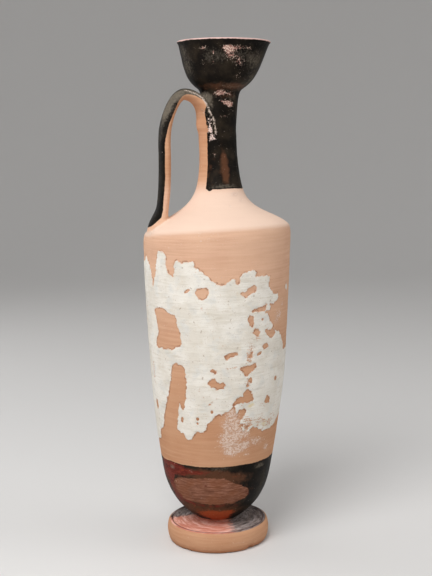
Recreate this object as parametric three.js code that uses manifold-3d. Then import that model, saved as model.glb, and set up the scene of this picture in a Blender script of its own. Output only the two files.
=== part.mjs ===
import * as THREE from 'three';
import { mergeVertices } from 'three/addons/utils/BufferGeometryUtils.js';
import Module from 'manifold-3d';

// Lekythos: a tall one-handled oil flask of fired clay, hollow and empty.
// Millimetres, +Z up. It stands on z = 0 with its foot centred on the origin and its handle towards -X.

// Foot: a low disc with a bulging side. The body stands on it through a narrow stem.
const FOOT_HEIGHT = 12;
const FOOT_BASE_RADIUS = 28.9;
const FOOT_RADIUS = 30.4;
const FOOT_TOP_RADIUS = 29.5;
const FOOT_TOP_RISE = 1;
const STEM_RADIUS = 10.7;

// Body: a rounded bowl, a tall wall that widens slowly, and a short stretch up to the shoulder's edge.
const BOWL_HEIGHT = 37;
const BOWL_RADIUS = 33;
const WALL_HEIGHT = 126;
const BODY_RADIUS = 42.8;
const EDGE_HEIGHT = 11;
const EDGE_RADIUS = 42.2;

// Shoulder and neck: the shoulder sweeps up into the neck, which is narrowest a little below the mouth.
const SHOULDER_HEIGHT = 25.6;
const NECK_ROOT_RADIUS = 13;
const NECK_HEIGHT = 40.4;
const NECK_RADIUS = 10.8;
const NECK_TOP_HEIGHT = 13.8;
const NECK_TOP_RADIUS = 12.2;

// Mouth: a deep flaring cup with a flat rim that slopes a little inwards.
const MOUTH_HEIGHT = 27;
const MOUTH_RADIUS = 26.4;
const RIM_WIDTH = 4.4;
const RIM_SLOPE = 0.8;
const LIP_DEPTH = 3;

// Clay left between the outside and the hollow.
const BODY_WALL = 4.2;
const NECK_WALL = 4.4;
const CUP_FLOOR = 4;

// Handle: a flat oval strap that rises from the shoulder and arches over to the neck.
const HANDLE_REACH = 32.2;
const HANDLE_ARCH_REACH = 21.3;
const HANDLE_SPRING = 18.5;
const HANDLE_ARCH_RISE = 32.9;
const HANDLE_SPLAY = 2.2;
const HANDLE_WIDTH = 12.6;
const HANDLE_THICKNESS = 6.4;
const HANDLE_BASE_SPREAD = 3.2;
const HANDLE_BASE_SPREAD_HEIGHT = 16;
const HANDLE_ROOT_DROP = 16.5;
const HANDLE_ROOT_TAIL = 11;
const HANDLE_ROOT_WIDTH = 17.4;
const HANDLE_ROOT_RAISE = 0.8;
const HANDLE_ROOT_SINK = 2.8;
const HANDLE_ROOT_SKEW = 30;

// Hand-made and fired, it isn't quite straight. Leans are rises in mm per mm, azimuths are degrees about Z.
const LEAN_AZIMUTH = -19;
const BODY_OFFSET = -0.6;
const BODY_LEAN = 0.021;
const BODY_BOW = 0.5;
const NECK_OFFSET = 1.3;
const NECK_LEAN = 0.08;
const NECK_LEAN_START = 32.3;
const MOUTH_TILT = -0.036;
const SHOULDER_TILT = 0.083;
const SHOULDER_HIGH_AZIMUTH = -76;

// Angles of the outline in degrees: 0 is outwards, 90 straight up, more than 90 up and inwards.
const STEM_ANGLE = 32;
const BOWL_ANGLE = 81;
const BODY_ANGLE = 88;
const EDGE_ANGLE = 105;
const SHOULDER_ANGLE = 135;
const NECK_ROOT_ANGLE = 102;
const NECK_ANGLE = 91.5;
const NECK_TOP_ANGLE = 55;
const MOUTH_ANGLE = 28;
const RIM_ANGLE = 71;
const CUP_FLOOR_ANGLE = 12;
const LIP_ANGLE = 80;

// How strongly each end of a bend holds its angle, as shares of the distance between its ends.
const EVEN_PULLS = [0.35, 0.35];
const BOWL_PULLS = [0.46, 0.36];
const SHOULDER_PULLS = [0.33, 0.43];
const NECK_PULLS = [0.37, 0.49];
const NECK_TOP_PULLS = [0.3, 0.25];

// How finely the round forms are faceted.
const ROUND_FACETS = 48;
const HANDLE_FACETS = 14;
const LEG_STEPS = 8;
const LEG_CROWDING = 1.4;
const ARCH_STEPS = 8;
const TAIL_STEPS = 4;
const CLOSEST = 0.02;

// Heights that follow from the sizes above.
const STEM_Z = FOOT_HEIGHT + FOOT_TOP_RISE;
const BOWL_Z = STEM_Z + BOWL_HEIGHT;
const BODY_Z = BOWL_Z + WALL_HEIGHT;
const EDGE_Z = BODY_Z + EDGE_HEIGHT;
const NECK_ROOT_Z = EDGE_Z + SHOULDER_HEIGHT;
const NECK_Z = NECK_ROOT_Z + NECK_HEIGHT;
const NECK_TOP_Z = NECK_Z + NECK_TOP_HEIGHT;
const RIM_Z = NECK_TOP_Z + MOUTH_HEIGHT;

const clay = new THREE.MeshStandardMaterial({ color: '#cf9d7c', roughness: 0.82, metalness: 0 });

// A profile point: distance from the axis, then height.
function at(radius, height) {
  return new THREE.Vector2(radius, height);
}

function smooth(from, to, value) {
  return THREE.MathUtils.smoothstep(value, from, to);
}

// A bend between two profile points that leaves and arrives at set angles.
function bend(start, startAngle, end, endAngle, steps, [startPull, endPull] = EVEN_PULLS) {
  const reach = start.distanceTo(end);
  const towards = (angle, length) => at(length, 0).rotateAround(at(0, 0), THREE.MathUtils.degToRad(angle));
  const leave = start.clone().add(towards(startAngle, reach * startPull));
  const arrive = end.clone().sub(towards(endAngle, reach * endPull));
  return new THREE.CubicBezierCurve(start, leave, arrive, end).getPoints(steps);
}

// Bends joined end to end, with each shared point kept once.
function joined(...bends) {
  return bends.flatMap((points, i) => (i === 0 ? points : points.slice(1)));
}

// The foot's side is a shallow bow whose widest ring is at half its height.
function footProfile() {
  const bulge = 2 * FOOT_RADIUS - (FOOT_BASE_RADIUS + FOOT_TOP_RADIUS) / 2;
  const side = new THREE.QuadraticBezierCurve(
    at(FOOT_BASE_RADIUS, 0), at(bulge, FOOT_HEIGHT / 2), at(FOOT_TOP_RADIUS, FOOT_HEIGHT));
  return [at(0, 0), ...side.getPoints(6)];
}

// The body from the stem to the shoulder's edge, then the shoulder up to the neck's root.
function bodyProfile() {
  const stem = at(STEM_RADIUS, STEM_Z);
  const bowl = at(BOWL_RADIUS, BOWL_Z);
  const widest = at(BODY_RADIUS, BODY_Z);
  const edge = at(EDGE_RADIUS, EDGE_Z);
  const root = at(NECK_ROOT_RADIUS, NECK_ROOT_Z);
  return joined(
    bend(stem, STEM_ANGLE, bowl, BOWL_ANGLE, 7, BOWL_PULLS),
    bend(bowl, BOWL_ANGLE, widest, BODY_ANGLE, 6),
    bend(widest, BODY_ANGLE, edge, EDGE_ANGLE, 2),
    bend(edge, SHOULDER_ANGLE, root, NECK_ROOT_ANGLE, 7, SHOULDER_PULLS));
}

function neckProfile() {
  const root = at(NECK_ROOT_RADIUS, NECK_ROOT_Z);
  const waist = at(NECK_RADIUS, NECK_Z);
  const top = at(NECK_TOP_RADIUS, NECK_TOP_Z);
  return joined(
    bend(root, NECK_ROOT_ANGLE, waist, NECK_ANGLE, 4, NECK_PULLS),
    bend(waist, NECK_ANGLE, top, NECK_TOP_ANGLE, 3, NECK_TOP_PULLS));
}

function mouthProfile() {
  return bend(at(NECK_TOP_RADIUS, NECK_TOP_Z), MOUTH_ANGLE, at(MOUTH_RADIUS, RIM_Z), RIM_ANGLE, 6);
}

// How close a profile comes to a point.
function distanceTo(profile, point) {
  const gaps = profile.slice(1).map((end, i) => {
    const stretch = end.clone().sub(profile[i]);
    const along = point.clone().sub(profile[i]).dot(stretch) / stretch.lengthSq();
    return profile[i].clone().addScaledVector(stretch, THREE.MathUtils.clamp(along, 0, 1)).distanceTo(point);
  });
  return Math.min(...gaps);
}

// The same profile moved into the clay by the wall, without what a sharp turn would fold over itself.
function inside(profile, wall) {
  const moved = profile.map((point, i) => {
    const before = profile[Math.max(i - 1, 0)];
    const after = profile[Math.min(i + 1, profile.length - 1)];
    return at(before.y - after.y, after.x - before.x).setLength(wall).add(point);
  });
  const nearlyTheWall = 0.97 * wall;
  return moved.filter((point) => point.x > 0 && distanceTo(profile, point) > nearlyTheWall);
}

// The hollow: a flat floor above the stem, the body, the neck's bore and the cup, open at the rim.
function hollowProfile() {
  const body = inside(bodyProfile(), BODY_WALL);
  const neck = inside(neckProfile(), NECK_WALL).filter((point) => point.y > body.at(-1).y);
  const bore = neck.filter((point) => point.y < NECK_TOP_Z);
  const cupFloor = at(bore.at(-1).x, NECK_TOP_Z + CUP_FLOOR);
  const lip = at(MOUTH_RADIUS - RIM_WIDTH, RIM_Z - LIP_DEPTH);
  const cup = bend(cupFloor, CUP_FLOOR_ANGLE, lip, LIP_ANGLE, 5);
  const open = RIM_Z + LIP_DEPTH;
  return [at(0, body[0].y), ...body, ...bore, ...cup, at(lip.x, open), at(0, open)];
}

// The outside, closed on the axis by a shallow cone that gives the rim its inward slope.
function vesselProfile() {
  const apex = at(0, RIM_Z - RIM_SLOPE * MOUTH_RADIUS / RIM_WIDTH);
  return [...footProfile(), ...joined(bodyProfile(), neckProfile(), mouthProfile()), apex];
}

// How far the axis stands aside at a height, along the lean.
function axisOffset(z) {
  const bowZ = (BOWL_Z + BODY_Z) / 2;
  const seat = BODY_OFFSET * smooth(FOOT_HEIGHT, BOWL_Z, z);
  const body = BODY_LEAN * Math.max(z - FOOT_HEIGHT, 0);
  const bow = BODY_BOW * smooth(BOWL_Z, bowZ, z) * (1 - smooth(bowZ, BODY_Z, z));
  const root = NECK_OFFSET * smooth(EDGE_Z, NECK_ROOT_Z, z) * (1 - smooth(NECK_ROOT_Z, NECK_Z, z));
  const neck = NECK_LEAN * Math.max(z - NECK_ROOT_Z - NECK_LEAN_START, 0);
  return seat + body + bow + root + neck;
}

// Moves a point of the straight vessel to where it is on the real one. The foot stays as it is.
function settle({ x, y, z }) {
  const lean = THREE.MathUtils.degToRad(LEAN_AZIMUTH);
  const high = THREE.MathUtils.degToRad(SHOULDER_HIGH_AZIMUTH);
  const alongLean = x * Math.cos(lean) + y * Math.sin(lean);
  const alongHigh = x * Math.cos(high) + y * Math.sin(high);
  const belowEdge = smooth(BOWL_Z + WALL_HEIGHT / 2, EDGE_Z, z);
  const aboveEdge = smooth(EDGE_Z, NECK_ROOT_Z + NECK_HEIGHT / 2, z);
  const atMouth = smooth(NECK_ROOT_Z, NECK_TOP_Z, z);
  const aside = axisOffset(z);
  const tilt = MOUTH_TILT * atMouth * alongLean + SHOULDER_TILT * belowEdge * (1 - aboveEdge) * alongHigh;
  return new THREE.Vector3(x + aside * Math.cos(lean), y + aside * Math.sin(lean), z + tilt);
}

const wasm = await Module();
wasm.setup();

// Makes a closed solid of a geometry, after settling it.
function solidOf(geometry) {
  const bare = geometry.clone();
  bare.deleteAttribute('normal');
  bare.deleteAttribute('uv');
  const merged = mergeVertices(bare, CLOSEST / 10);
  const places = merged.getAttribute('position');
  for (let i = 0; i < places.count; i += 1) {
    const place = settle(new THREE.Vector3().fromBufferAttribute(places, i));
    places.setXYZ(i, place.x, place.y, place.z);
  }
  const triangles = [];
  for (let i = 0; i < merged.index.count; i += 3) {
    const [a, b, c] = [0, 1, 2].map((corner) => merged.index.getX(i + corner));
    if (a !== b && b !== c && c !== a) triangles.push(a, b, c);
  }
  return new wasm.Manifold(new wasm.Mesh({
    numProp: 3, vertProperties: new Float32Array(places.array), triVerts: new Uint32Array(triangles),
  }));
}

// Turns a profile about the Z axis, from a start angle. Near-repeated points are dropped.
function turned(profile, start = 0) {
  const points = profile.filter((point, i) => i === 0 || point.distanceTo(profile[i - 1]) > CLOSEST);
  return solidOf(new THREE.LatheGeometry(points, ROUND_FACETS, start).rotateX(Math.PI / 2));
}

// The handle as oval sections: how far out and how high each centre is, how far it is turned aside about
// the axis, and the section's half sizes. The leg spreads at its foot. The root widens onto the neck, and its
// tail narrows again as it sinks into the neck's wall.
function handleSections() {
  const springZ = NECK_ROOT_Z + HANDLE_SPRING;
  const topZ = springZ + HANDLE_ARCH_RISE;
  const rootReach = NECK_RADIUS + HANDLE_ROOT_RAISE - HANDLE_THICKNESS / 2;
  const sections = [];
  const add = (reach, z, skew, width, thickness) => {
    sections.push({ reach, z, skew, halfWidth: width / 2, halfThickness: thickness / 2 });
  };
  for (let i = 0; i < LEG_STEPS; i += 1) {
    const z = EDGE_Z + (springZ - EDGE_Z) * (i / LEG_STEPS) ** LEG_CROWDING;
    const spread = HANDLE_BASE_SPREAD * (1 - smooth(EDGE_Z, EDGE_Z + HANDLE_BASE_SPREAD_HEIGHT, z));
    const splay = HANDLE_SPLAY * (springZ - z) / (springZ - EDGE_Z);
    add(HANDLE_REACH + splay + spread / 2, z, 0, HANDLE_WIDTH + spread, HANDLE_THICKNESS + 2 * spread);
  }
  for (let i = 0; i < ARCH_STEPS; i += 1) {
    const angle = Math.PI / 2 * i / ARCH_STEPS;
    const reach = HANDLE_ARCH_REACH + (HANDLE_REACH - HANDLE_ARCH_REACH) * Math.cos(angle);
    add(reach, springZ + HANDLE_ARCH_RISE * Math.sin(angle), 0, HANDLE_WIDTH, HANDLE_THICKNESS);
  }
  for (let i = 0; i <= ARCH_STEPS + TAIL_STEPS; i += 1) {
    const angle = Math.PI / 2 * Math.min(i / ARCH_STEPS, 1);
    const down = 1 - Math.cos(angle);
    const tail = Math.max(i - ARCH_STEPS, 0) / TAIL_STEPS;
    const reach = THREE.MathUtils.lerp(HANDLE_ARCH_REACH, rootReach, Math.sin(angle));
    const z = topZ - HANDLE_ROOT_DROP * down - HANDLE_ROOT_TAIL * tail;
    const pressed = THREE.MathUtils.lerp(HANDLE_WIDTH, HANDLE_ROOT_WIDTH, down);
    const width = THREE.MathUtils.lerp(pressed, HANDLE_WIDTH, tail);
    add(reach - HANDLE_ROOT_SINK * tail ** 2, z, HANDLE_ROOT_SKEW * down, width, HANDLE_THICKNESS);
  }
  return sections;
}

// The handle is skinned over its sections, each lying across the route with its width level.
function handleGeometry() {
  const sections = handleSections();
  const centres = sections.map(({ reach, z, skew }) => {
    const azimuth = Math.PI + THREE.MathUtils.degToRad(skew);
    return new THREE.Vector3(reach * Math.cos(azimuth), reach * Math.sin(azimuth), z);
  });
  const corners = [];
  sections.forEach((section, i) => {
    const before = centres[Math.max(i - 1, 0)];
    const after = centres[Math.min(i + 1, centres.length - 1)];
    const route = after.clone().sub(before).normalize();
    const outward = new THREE.Vector3(centres[i].x, centres[i].y, 0).normalize();
    const across = new THREE.Vector3(-outward.y, outward.x, 0);
    const through = route.clone().cross(across).normalize();
    for (let k = 0; k < HANDLE_FACETS; k += 1) {
      const angle = 2 * Math.PI * k / HANDLE_FACETS;
      corners.push(centres[i].clone()
        .addScaledVector(across, section.halfWidth * Math.cos(angle))
        .addScaledVector(through, section.halfThickness * Math.sin(angle)));
    }
  });
  const last = corners.length - HANDLE_FACETS;
  const triangles = [];
  for (let ring = 0; ring < last; ring += HANDLE_FACETS) {
    for (let k = 0; k < HANDLE_FACETS; k += 1) {
      const [a, b] = [ring + k, ring + (k + 1) % HANDLE_FACETS];
      const [c, d] = [a + HANDLE_FACETS, b + HANDLE_FACETS];
      triangles.push(a, b, c, b, d, c);
    }
  }
  for (let k = 1; k < HANDLE_FACETS - 1; k += 1) {
    triangles.push(0, k + 1, k, last, last + k, last + k + 1);
  }
  const geometry = new THREE.BufferGeometry().setFromPoints(corners);
  geometry.setIndex(triangles);
  return geometry;
}

// The vessel with its handle luted on, then hollowed through the mouth. The hollow's facets are staggered
// by half a facet, so that no edge of one runs along an edge of the other where they cross at the rim.
function vesselGeometry() {
  const solid = turned(vesselProfile())
    .add(solidOf(handleGeometry()))
    .subtract(turned(hollowProfile(), Math.PI / ROUND_FACETS));
  const { vertProperties, triVerts } = solid.getMesh();
  const geometry = new THREE.BufferGeometry();
  geometry.setAttribute('position', new THREE.BufferAttribute(vertProperties, 3));
  geometry.setIndex(new THREE.BufferAttribute(triVerts, 1));
  geometry.computeVertexNormals();
  return geometry;
}

const lekythos = new THREE.Mesh(vesselGeometry(), clay);
lekythos.name = 'lekythos';

const group = new THREE.Group();
group.add(lekythos);

export default group;
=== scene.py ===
# %% [markdown]
# # A lekythos: a tall oil flask of fired clay
# A lekythos held oil. It is thrown on the wheel in a few sections, which are joined while the clay is
# leather hard, and a strap handle is luted on last. The mouth, neck, handle and lower body carry a black
# gloss, the wall carries a chalky white slip, and the shoulder and the side of the foot stay bare.
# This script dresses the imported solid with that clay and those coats, a step at a time.

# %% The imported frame
import math

import bpy
import numpy as np
from mathutils import Matrix, Vector, kdtree, noise


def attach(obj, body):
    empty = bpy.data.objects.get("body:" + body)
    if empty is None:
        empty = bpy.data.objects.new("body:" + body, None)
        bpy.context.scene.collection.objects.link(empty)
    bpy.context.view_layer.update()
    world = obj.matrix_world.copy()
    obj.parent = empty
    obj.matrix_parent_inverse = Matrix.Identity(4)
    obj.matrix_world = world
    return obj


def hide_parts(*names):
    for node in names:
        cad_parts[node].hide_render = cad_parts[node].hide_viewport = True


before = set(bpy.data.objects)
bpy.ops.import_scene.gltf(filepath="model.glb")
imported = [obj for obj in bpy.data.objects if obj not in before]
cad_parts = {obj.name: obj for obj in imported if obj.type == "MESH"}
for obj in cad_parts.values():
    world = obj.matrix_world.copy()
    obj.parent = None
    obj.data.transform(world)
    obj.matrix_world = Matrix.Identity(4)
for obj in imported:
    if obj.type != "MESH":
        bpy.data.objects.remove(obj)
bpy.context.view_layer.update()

MM = 0.001

# %% [markdown]
# ## The camera
# The flask stands a little turned, with its handle to the left, and is seen from just above its mouth's
# height with a long lens. The tiny roll follows the photograph's own tilt. The camera comes first, so that
# every later step can be judged through it.

# %% The camera
LENS_MM = 65.6
CAMERA_AZIMUTH = -19.0
CAMERA_ASIDE, CAMERA_BACK, CAMERA_UP = 3.6, -611.65, 238.3
CAMERA_PITCH = 8.03
CAMERA_ROLL = 1.2

azimuth, pitch, roll = (math.radians(a) for a in (CAMERA_AZIMUTH, CAMERA_PITCH, CAMERA_ROLL))
aside = Vector((math.cos(azimuth), math.sin(azimuth), 0))
ahead = Vector((-math.sin(azimuth), math.cos(azimuth), 0))
rise = Vector((0, 0, 1))
camera_right = aside * math.cos(roll) - rise * math.sin(roll)
camera_up = (aside * math.sin(roll) + rise * math.cos(roll)) * math.cos(pitch) + ahead * math.sin(pitch)
camera_back = camera_right.cross(camera_up)
camera = bpy.data.objects.new("camera", bpy.data.cameras.new("camera"))
bpy.context.scene.collection.objects.link(camera)
camera.data.lens = LENS_MM
camera_place = (aside * CAMERA_ASIDE + ahead * CAMERA_BACK + rise * CAMERA_UP) * MM
camera.matrix_world = Matrix.Translation(camera_place) @ Matrix(
    (camera_right, camera_up, camera_back)).transposed().to_4x4()
bpy.context.scene.camera = camera
print("camera at", [round(v, 3) for v in camera_place])

# %% [markdown]
# ## The potter's profile
# Everything turned on a wheel is one line spun round an axis. The line is made of bends that leave and
# arrive at set angles, as a potter's rib does, from the same named sizes as the solid. Heights and radii
# are in millimetres. The solid has a few facets in each bend, and here a bend has a point each millimetre
# or so, so that light rolls over it without steps.

# %% Sizes of the flask, in millimetres and degrees
STEP = 1.4
FOOT_HEIGHT, FOOT_BASE_RADIUS, FOOT_RADIUS, FOOT_TOP_RADIUS, FOOT_TOP_RISE = 12, 28.9, 30.4, 29.5, 1
STEM_RADIUS, BOWL_RADIUS, BODY_RADIUS, EDGE_RADIUS = 10.7, 33, 42.8, 42.2
NECK_ROOT_RADIUS, NECK_RADIUS, NECK_TOP_RADIUS = 13, 10.8, 12.2
MOUTH_RADIUS, RIM_WIDTH, RIM_SLOPE = 26.4, 4.4, 0.8
BODY_WALL, NECK_WALL, CUP_FLOOR = 4.2, 4.4, 4
BOWL_HEIGHT, BODY_HEIGHT, EDGE_HEIGHT, SHOULDER_HEIGHT = 37, 126, 11, 25.6
NECK_HEIGHT, NECK_TOP_HEIGHT, CUP_HEIGHT = 40.4, 13.8, 27
STEM_Z = FOOT_HEIGHT + FOOT_TOP_RISE
BOWL_Z = STEM_Z + BOWL_HEIGHT
BODY_Z = BOWL_Z + BODY_HEIGHT
EDGE_Z = BODY_Z + EDGE_HEIGHT
NECK_ROOT_Z = EDGE_Z + SHOULDER_HEIGHT
NECK_Z = NECK_ROOT_Z + NECK_HEIGHT
NECK_TOP_Z = NECK_Z + NECK_TOP_HEIGHT
RIM_Z = NECK_TOP_Z + CUP_HEIGHT
STEM_ANGLE, BOWL_ANGLE, BODY_ANGLE, EDGE_ANGLE, SHOULDER_ANGLE = 32, 81, 88, 105, 135
NECK_ROOT_ANGLE, NECK_ANGLE, NECK_TOP_ANGLE, CUP_ANGLE, LIP_ANGLE = 102, 91.5, 55, 28, 71
CUP_FLOOR_ANGLE, CUP_INNER_ANGLE = 12, 84

# %% Bends and the line they make
def bend(start, start_angle, end, end_angle, pulls=(0.35, 0.35)):
    """Points from start to end, leaving and arriving at the angles, about a step apart."""
    start, end = np.array(start, float), np.array(end, float)
    reach = np.linalg.norm(end - start)
    towards = [np.array([math.cos(math.radians(a)), math.sin(math.radians(a))])
               for a in (start_angle, end_angle)]
    leave = start + towards[0] * reach * pulls[0]
    arrive = end - towards[1] * reach * pulls[1]
    t = np.linspace(0, 1, max(2, math.ceil(reach / STEP)) + 1)[:, None]
    return (1 - t) ** 3 * start + 3 * (1 - t) ** 2 * t * leave + 3 * (1 - t) * t ** 2 * arrive + t ** 3 * end


def line(*corners):
    """Straight stretches between corners, with points about a step apart."""
    parts = []
    for a, b in zip(corners, corners[1:]):
        heading = math.degrees(math.atan2(b[1] - a[1], b[0] - a[0]))
        parts.append(bend(a, heading, b, heading))
    return joined(*parts)


def joined(*parts):
    return np.concatenate([parts[0]] + [p[1:] for p in parts[1:]])


def foot_line():
    bulge = 2 * FOOT_RADIUS - (FOOT_BASE_RADIUS + FOOT_TOP_RADIUS) / 2
    t = np.linspace(0, 1, 12)[:, None]
    base, mid, top = (np.array(p, float) for p in (
        (FOOT_BASE_RADIUS, 0), (bulge, FOOT_HEIGHT / 2), (FOOT_TOP_RADIUS, FOOT_HEIGHT)))
    side = (1 - t) ** 2 * base + 2 * t * (1 - t) * mid + t ** 2 * top
    return joined(line((0, 0), (FOOT_BASE_RADIUS, 0)), side,
                  line((FOOT_TOP_RADIUS, FOOT_HEIGHT), (STEM_RADIUS, STEM_Z)))


def body_line():
    return joined(
        bend((STEM_RADIUS, STEM_Z), STEM_ANGLE, (BOWL_RADIUS, BOWL_Z), BOWL_ANGLE, (0.46, 0.36)),
        bend((BOWL_RADIUS, BOWL_Z), BOWL_ANGLE, (BODY_RADIUS, BODY_Z), BODY_ANGLE),
        bend((BODY_RADIUS, BODY_Z), BODY_ANGLE, (EDGE_RADIUS, EDGE_Z), EDGE_ANGLE),
        bend((EDGE_RADIUS, EDGE_Z), SHOULDER_ANGLE, (NECK_ROOT_RADIUS, NECK_ROOT_Z), NECK_ROOT_ANGLE,
             (0.33, 0.43)))


def neck_line():
    return joined(
        bend((NECK_ROOT_RADIUS, NECK_ROOT_Z), NECK_ROOT_ANGLE, (NECK_RADIUS, NECK_Z), NECK_ANGLE,
             (0.37, 0.49)),
        bend((NECK_RADIUS, NECK_Z), NECK_ANGLE, (NECK_TOP_RADIUS, NECK_TOP_Z), NECK_TOP_ANGLE,
             (0.3, 0.25)))


outer_line = joined(foot_line(), body_line(), neck_line(),
                    bend((NECK_TOP_RADIUS, NECK_TOP_Z), CUP_ANGLE, (MOUTH_RADIUS, RIM_Z), LIP_ANGLE))
print("outer line has", len(outer_line), "points")

# %% [markdown]
# The hollow follows the same line, moved into the clay by the wall's thickness. Where the line turns
# sharply the moved points would fold over each other, so those that come closer than the wall are left out.

# %% The hollow's line
def gap_to(path, points):
    """How far each point is from a path of straight stretches."""
    a, b = path[:-1], path[1:]
    stretch = b - a
    along = ((points[:, None] - a) * stretch).sum(-1) / np.maximum((stretch ** 2).sum(-1), 1e-12)
    nearest = a + np.clip(along, 0, 1)[..., None] * stretch
    return np.linalg.norm(points[:, None] - nearest, axis=-1).min(1)


def inside(path, wall):
    """The path moved into the clay by the wall."""
    run = np.gradient(path, axis=0)
    aside_of = np.stack([-run[:, 1], run[:, 0]], 1)
    moved = path + aside_of / np.linalg.norm(aside_of, axis=1)[:, None] * wall
    return moved[(gap_to(path, moved) > 0.97 * wall) & (moved[:, 0] > 0)]


def hollow_line(share=1.0):
    """The hollow from its floor to the lip. A smaller share of the wall gives the core of the clay."""
    body = inside(body_line(), BODY_WALL * share)
    neck = inside(neck_line(), NECK_WALL * share)
    neck = neck[(neck[:, 1] > body[-1, 1]) & (neck[:, 1] < NECK_TOP_Z)]
    return joined(np.array([[0, body[0, 1]], body[0]]), body, np.concatenate([body[-1:], neck]))


bore = hollow_line()
lip = (MOUTH_RADIUS - RIM_WIDTH, RIM_Z - RIM_SLOPE)
cup = bend((bore[-1, 0], NECK_TOP_Z + CUP_FLOOR), CUP_FLOOR_ANGLE, lip, CUP_INNER_ANGLE)
inner_line = np.concatenate([bore, cup])
rim_line = line((MOUTH_RADIUS, RIM_Z), lip)
print("hollow line has", len(inner_line), "points")

# %% [markdown]
# Fired clay has no knife edges: a wet sponge takes them off. The whole line is laid out again at even
# steps and each point is drawn a little towards its neighbours, which rounds the rim, the shoulder's edge
# and the foot by half a millimetre and leaves the long curves alone.

# %% Rounding the line's corners
def evenly(path, step):
    lengths = np.concatenate([[0], np.cumsum(np.linalg.norm(np.diff(path, axis=0), axis=1))])
    places = np.linspace(0, lengths[-1], round(lengths[-1] / step) + 1)
    return np.stack([np.interp(places, lengths, path[:, k]) for k in (0, 1)], 1)


def sponged(path, step=STEP, passes=6):
    fine = evenly(path, step / 3)
    for _ in range(passes):
        fine[1:-1] = (fine[:-2] + 2 * fine[1:-1] + fine[2:]) / 4
    return fine[::3] if (len(fine) - 1) % 3 == 0 else np.concatenate([fine[::3], fine[-1:]])


vessel_line = joined(sponged(joined(outer_line, rim_line, cup[::-1])), evenly(bore[::-1], 3.5))
print("vessel line has", len(vessel_line), "points")

# %% [markdown]
# ## Turning on the wheel
# Spinning the line is a rule, so Geometry Nodes do it. A grid has one column for each place round the
# wheel and one row for each point of the line. Each grid point looks up its line point and goes that far
# out at its own angle. Merging closes the seam and the two ends on the axis.

# %% Wires: node sockets in Python expressions
class Wire:
    """One output of a node. Arithmetic on it adds Math nodes to the same tree."""

    def __init__(self, tree, socket):
        self.tree, self.socket = tree, socket

    def node(self, kind, settings=None, inputs=None, output=0):
        """Adds a node, sets it up, then fills its sockets with values or wires."""
        made = self.tree.nodes.new(kind)
        for name, value in (settings or {}).items():
            setattr(made, name, value)
        for name, value in (inputs or {}).items():
            if isinstance(value, Wire):
                self.tree.links.new(value.socket, made.inputs[name])
            elif value is not None:
                made.inputs[name].default_value = value
        return Wire(self.tree, made.outputs[output])

    def maths(self, operation, first, second=0.0):
        return self.node("ShaderNodeMath", {"operation": operation}, {0: first, 1: second})

    def vector(self, operation, second=None, scale=None, output=0):
        """Vector maths on this wire, with a second vector or a plain number."""
        return self.node("ShaderNodeVectorMath", {"operation": operation},
                         {0: self, 1: second, "Scale": scale}, output)

    def parts(self):
        """The three numbers of a vector."""
        made = self.node("ShaderNodeSeparateXYZ", {}, {"Vector": self}).socket.node
        return [Wire(self.tree, made.outputs[axis]) for axis in "XYZ"]

    def __add__(self, other): return self.maths("ADD", self, other)
    def __radd__(self, other): return self.maths("ADD", other, self)
    def __sub__(self, other): return self.maths("SUBTRACT", self, other)
    def __rsub__(self, other): return self.maths("SUBTRACT", other, self)
    def __mul__(self, other): return self.maths("MULTIPLY", self, other)
    def __rmul__(self, other): return self.maths("MULTIPLY", other, self)
    def most(self, other): return self.maths("MAXIMUM", self, other)

    def step(self, low, high):
        """0 below low, 1 above high, and a smooth rise between them."""
        return self.node("ShaderNodeMapRange", {"interpolation_type": "SMOOTHSTEP"},
                         {"Value": self, "From Min": low, "From Max": high})


# %% The wheel
def wheel_tree():
    tree = bpy.data.node_groups.new("wheel", "GeometryNodeTree")
    tree.interface.new_socket("Line", in_out="INPUT", socket_type="NodeSocketGeometry")
    for name, kind in (("Points", "NodeSocketInt"), ("Facets", "NodeSocketInt"),
                       ("Clay", "NodeSocketMaterial")):
        tree.interface.new_socket(name, in_out="INPUT", socket_type=kind)
    tree.interface.new_socket("Vessel", in_out="OUTPUT", socket_type="NodeSocketGeometry")
    given = tree.nodes.new("NodeGroupInput")
    start = Wire(tree, given.outputs["Points"])
    facets = Wire(tree, given.outputs["Facets"])
    grid_node = start.node("GeometryNodeMeshGrid", {}, {
        "Size X": 1.0, "Size Y": 1.0, "Vertices X": facets + 1, "Vertices Y": start})
    across, along, _ = Wire(tree, grid_node.socket.node.outputs["UV Map"]).parts()
    around = across * (2 * math.pi)
    row = start.maths("ROUND", along * (start - 1))
    spot = start.node("GeometryNodeSampleIndex", {"data_type": "FLOAT_VECTOR"}, {
        "Geometry": Wire(tree, given.outputs["Line"]), "Value": start.node("GeometryNodeInputPosition"),
        "Index": row})
    radius, _, height = spot.parts()
    turned_to = start.node("ShaderNodeCombineXYZ", {}, {
        "X": radius * start.maths("COSINE", around), "Y": radius * start.maths("SINE", around), "Z": height})
    spun = start.node("GeometryNodeSetPosition", {}, {"Geometry": grid_node, "Position": turned_to})
    closed = start.node("GeometryNodeMergeByDistance", {}, {"Geometry": spun, "Distance": 1e-6})
    real = start.node("GeometryNodeRealizeInstances", {}, {"Geometry": closed})
    coated = start.node("GeometryNodeSetMaterial", {}, {
        "Geometry": real, "Material": Wire(tree, given.outputs["Clay"])})
    result = tree.nodes.new("NodeGroupOutput")
    tree.links.new(coated.socket, result.inputs["Vessel"])
    return tree


wheel = wheel_tree()


def plain_object(name, verts, edges=(), faces=()):
    mesh = bpy.data.meshes.new(name)
    mesh.from_pydata([tuple(v) for v in verts], edges, faces)
    made = bpy.data.objects.new(name, mesh)
    bpy.context.scene.collection.objects.link(made)
    return made


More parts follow.
